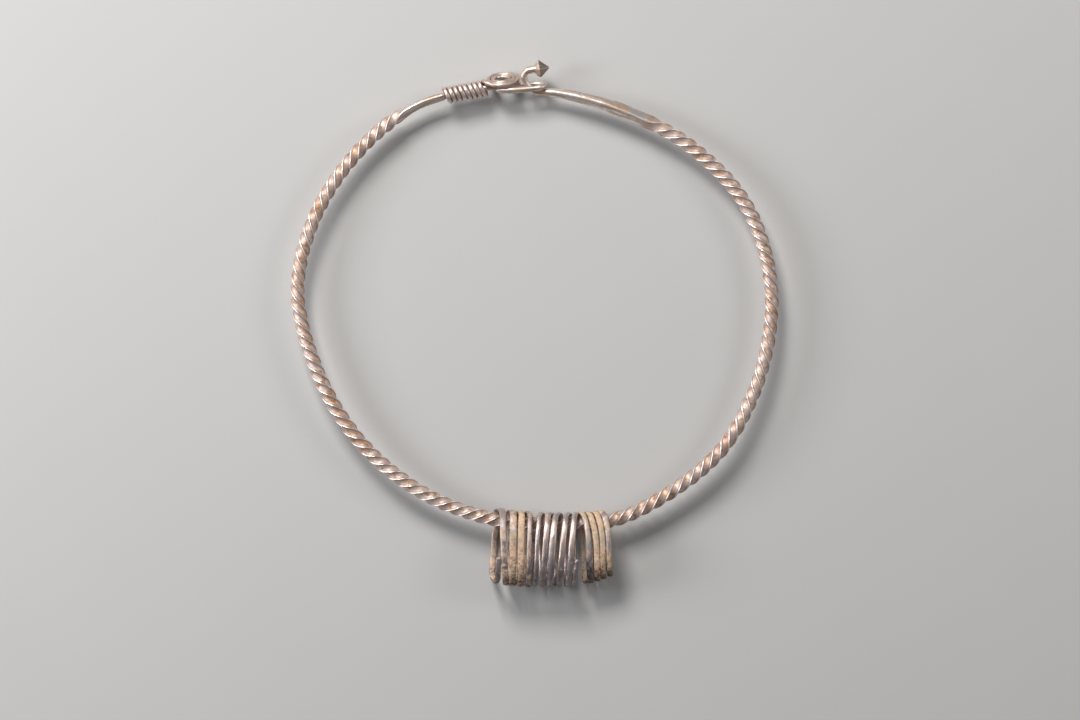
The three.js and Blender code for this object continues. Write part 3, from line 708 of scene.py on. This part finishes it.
def buriedSilver(name, look, smoothness):
    # grey silver under a crust of sand, with soot and green copper salts where the paint values call for them
    material, tree, shader, where = newFinish(name)
    sand, soot, green, crust, edge, flank, under, streak, paintedFootShade = (paintOf(tree, k) for k in (
        "sand", "soot", "green", "crust", "edge", "flank", "under", "streak", "paintedFootShade"))
    cloud = noiseOf(tree, where, look["cloud"], 3)
    patch = noiseOf(tree, where, look["patch"], 5, 0.7)
    grain = noiseOf(tree, where, look["grain"], 3, 0.6)
    speck = noiseOf(tree, where, look["speck"], 5, 0.75)
    # silver: violet in clouds and, as painted shade, towards the foot; paler on the edges; a painted
    # highlight line on the front
    violet = sumOf(tree, rangeOf(tree, cloud, 0.42, 0.58, 0, 0.7), timesOf(tree, paintedFootShade, 0.6))
    silver = blendOf(tree, violet, look["silver"], look["violet"])
    rubbed = timesOf(tree, edge, rangeOf(tree, patch, 0.45, 0.65, 0.1, 0.8))
    silver = blendOf(tree, rubbed, silver, look["pale"])
    bare = timesOf(tree, streak, rangeOf(tree, patch, 0.4, 0.6, 0.3, 0.95))
    silver = blendOf(tree, bare, silver, look["streak"])
    # sand: pale and dull patches, ochre grains, and rust where the crust is thick
    grainy = blendOf(tree, rangeOf(tree, patch, 0.4, 0.62), look["sand"], look["sandPale"])
    grainy = blendOf(tree, rangeOf(tree, cloud, 0.53, 0.62, 0, 0.8), grainy, look["sandDull"])
    grainy = blendOf(tree, rangeOf(tree, grain, 0.5, 0.68, 0, 0.5), grainy, look["ochre"])
    rusty = timesOf(tree, crust, rangeOf(tree, grain, 0.44, 0.56, 0, 0.8))
    grainy = blendOf(tree, rusty, grainy, look["rust"])
    # each layer's share is its paint value, broken up by noise
    sandShare = rangeOf(tree, sumOf(tree, sand, rangeOf(tree, patch, 0.3, 0.7, -0.3, 0.3)), 0.36, 0.62)
    sootShare = rangeOf(tree, sumOf(tree, soot, rangeOf(tree, speck, 0.3, 0.7, -0.35, 0.25)), 0.42, 0.8)
    greenShare = sumOf(tree, green, rangeOf(tree, patch, 0.3, 0.7, -0.3, 0.22))
    greenShare = rangeOf(tree, greenShare, 0.42, 0.8, 0, 0.75)
    greenTone = blendOf(tree, rangeOf(tree, cloud, 0.5, 0.6), look["green"], look["blueGreen"])
    color = blendOf(tree, sandShare, silver, grainy)
    color = blendOf(tree, sootShare, color, look["soot"])
    color = blendOf(tree, greenShare, color, greenTone)
    # dark pits in the crust; dirt and painted shade under the foot; painted shade on the sides of the wire
    for dark in (timesOf(tree, timesOf(tree, crust, rangeOf(tree, grain, 0.55, 0.63)), 0.9),
                 timesOf(tree, under, rangeOf(tree, patch, 0.3, 0.55, 0.9, 0.5)),
                 timesOf(tree, flank, rangeOf(tree, patch, 0.35, 0.6, 0.9, 0.35))):
        color = blendOf(tree, dark, color, look["pitAndShade"])
    covered = mostOf(tree, mostOf(tree, sandShare, sootShare), greenShare)
    metallic = rangeOf(tree, covered, 0, 1, 0.9, 0.05)
    roughness = rangeOf(tree, covered, 0, 1, smoothness, look["crustRoughness"])
    height = sumOf(tree, timesOf(tree, speck, 0.6), timesOf(tree, patch, 0.4))
    finishSurface(tree, shader, look, color, metallic, roughness, height)
    return material


# pieces made and joined to the frame

def takePlace(piece, node, material):
    piece.data.materials.append(material)
    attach(piece, "root")
    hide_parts(node)
    print("made", piece.name, len(piece.data.polygons), "faces")


takePlace(makeRod(), "torc_rod", warmSilver("rod silver", rodFinish))
takePlace(makeBinding(), "binding_wire", warmSilver("binding silver", bindingFinish))
for spiral in spirals:
    finish = buriedSilver(spiral["name"] + " finish", spiralFinish, spiral["roughness"])
    takePlace(makeSpiral(spiral), spiral["name"], finish)


# floor, light and camera

studio = {
    "floor": (0.53, 0.526, 0.518), "world": (0.80, 0.82, 0.86), "worldStrength": 0.2,
    "lamps": [  # name, place, size, watts, colour; all point at the torc
        ("top softbox", (-0.30, 0.72, 0.72), 0.34, 9.5, (1.0, 0.97, 0.94)),
        ("left softbox", (-0.85, 0.10, 0.42), 0.34, 5.0, (0.95, 0.97, 1.0)),
        ("right softbox", (0.85, 0.25, 0.60), 0.30, 2.0, (1.0, 0.96, 0.92)),
    ],
    "cameraAt": (0.00173, -0.01215), "lens": 100, "frameWidth": 0.3564,
}


def makeStudio():
    mesh = bpy.data.meshes.new("floor")
    mesh.from_pydata([(-3, -3, 0), (3, -3, 0), (3, 3, 0), (-3, 3, 0)], [], [(0, 1, 2, 3)])
    floor = bpy.data.objects.new("floor", mesh)
    bpy.context.scene.collection.objects.link(floor)
    material, tree, shader, where = newFinish("pale floor")
    shade = noiseOf(tree, where, 30, 2)
    pale = studio["floor"]
    tree.links.new(blendOf(tree, rangeOf(tree, shade, 0.3, 0.7, 0, 0.3), pale, [v * 0.97 for v in pale]),
                   shader.inputs["Base Color"])
    shader.inputs["Roughness"].default_value = 0.75
    mesh.materials.append(material)
    world = bpy.data.worlds.new("studio")
    bpy.context.scene.world = world
    world.use_nodes = True
    world.node_tree.nodes["Background"].inputs["Color"].default_value = (*studio["world"], 1)
    world.node_tree.nodes["Background"].inputs["Strength"].default_value = studio["worldStrength"]
    for name, at, size, watts, color in studio["lamps"]:
        data = bpy.data.lights.new(name, "AREA")
        data.shape, data.size, data.energy, data.color = "SQUARE", size, watts, color
        lamp = bpy.data.objects.new(name, data)
        lamp.location = at
        lamp.rotation_euler = Vector(at).to_track_quat("Z", "Y").to_euler()
        bpy.context.scene.collection.objects.link(lamp)
    data = bpy.data.cameras.new("camera")
    camera = bpy.data.objects.new("camera", data)
    height = studio["frameWidth"] * studio["lens"] / 36
    data.lens, data.sensor_width = studio["lens"], 36
    data.clip_end = 20
    camera.location = (*studio["cameraAt"], height + 0.007)
    bpy.context.scene.collection.objects.link(camera)
    bpy.context.scene.camera = camera
    bpy.context.scene.view_settings.view_transform = "Standard"
    print("studio ready")


makeStudio()
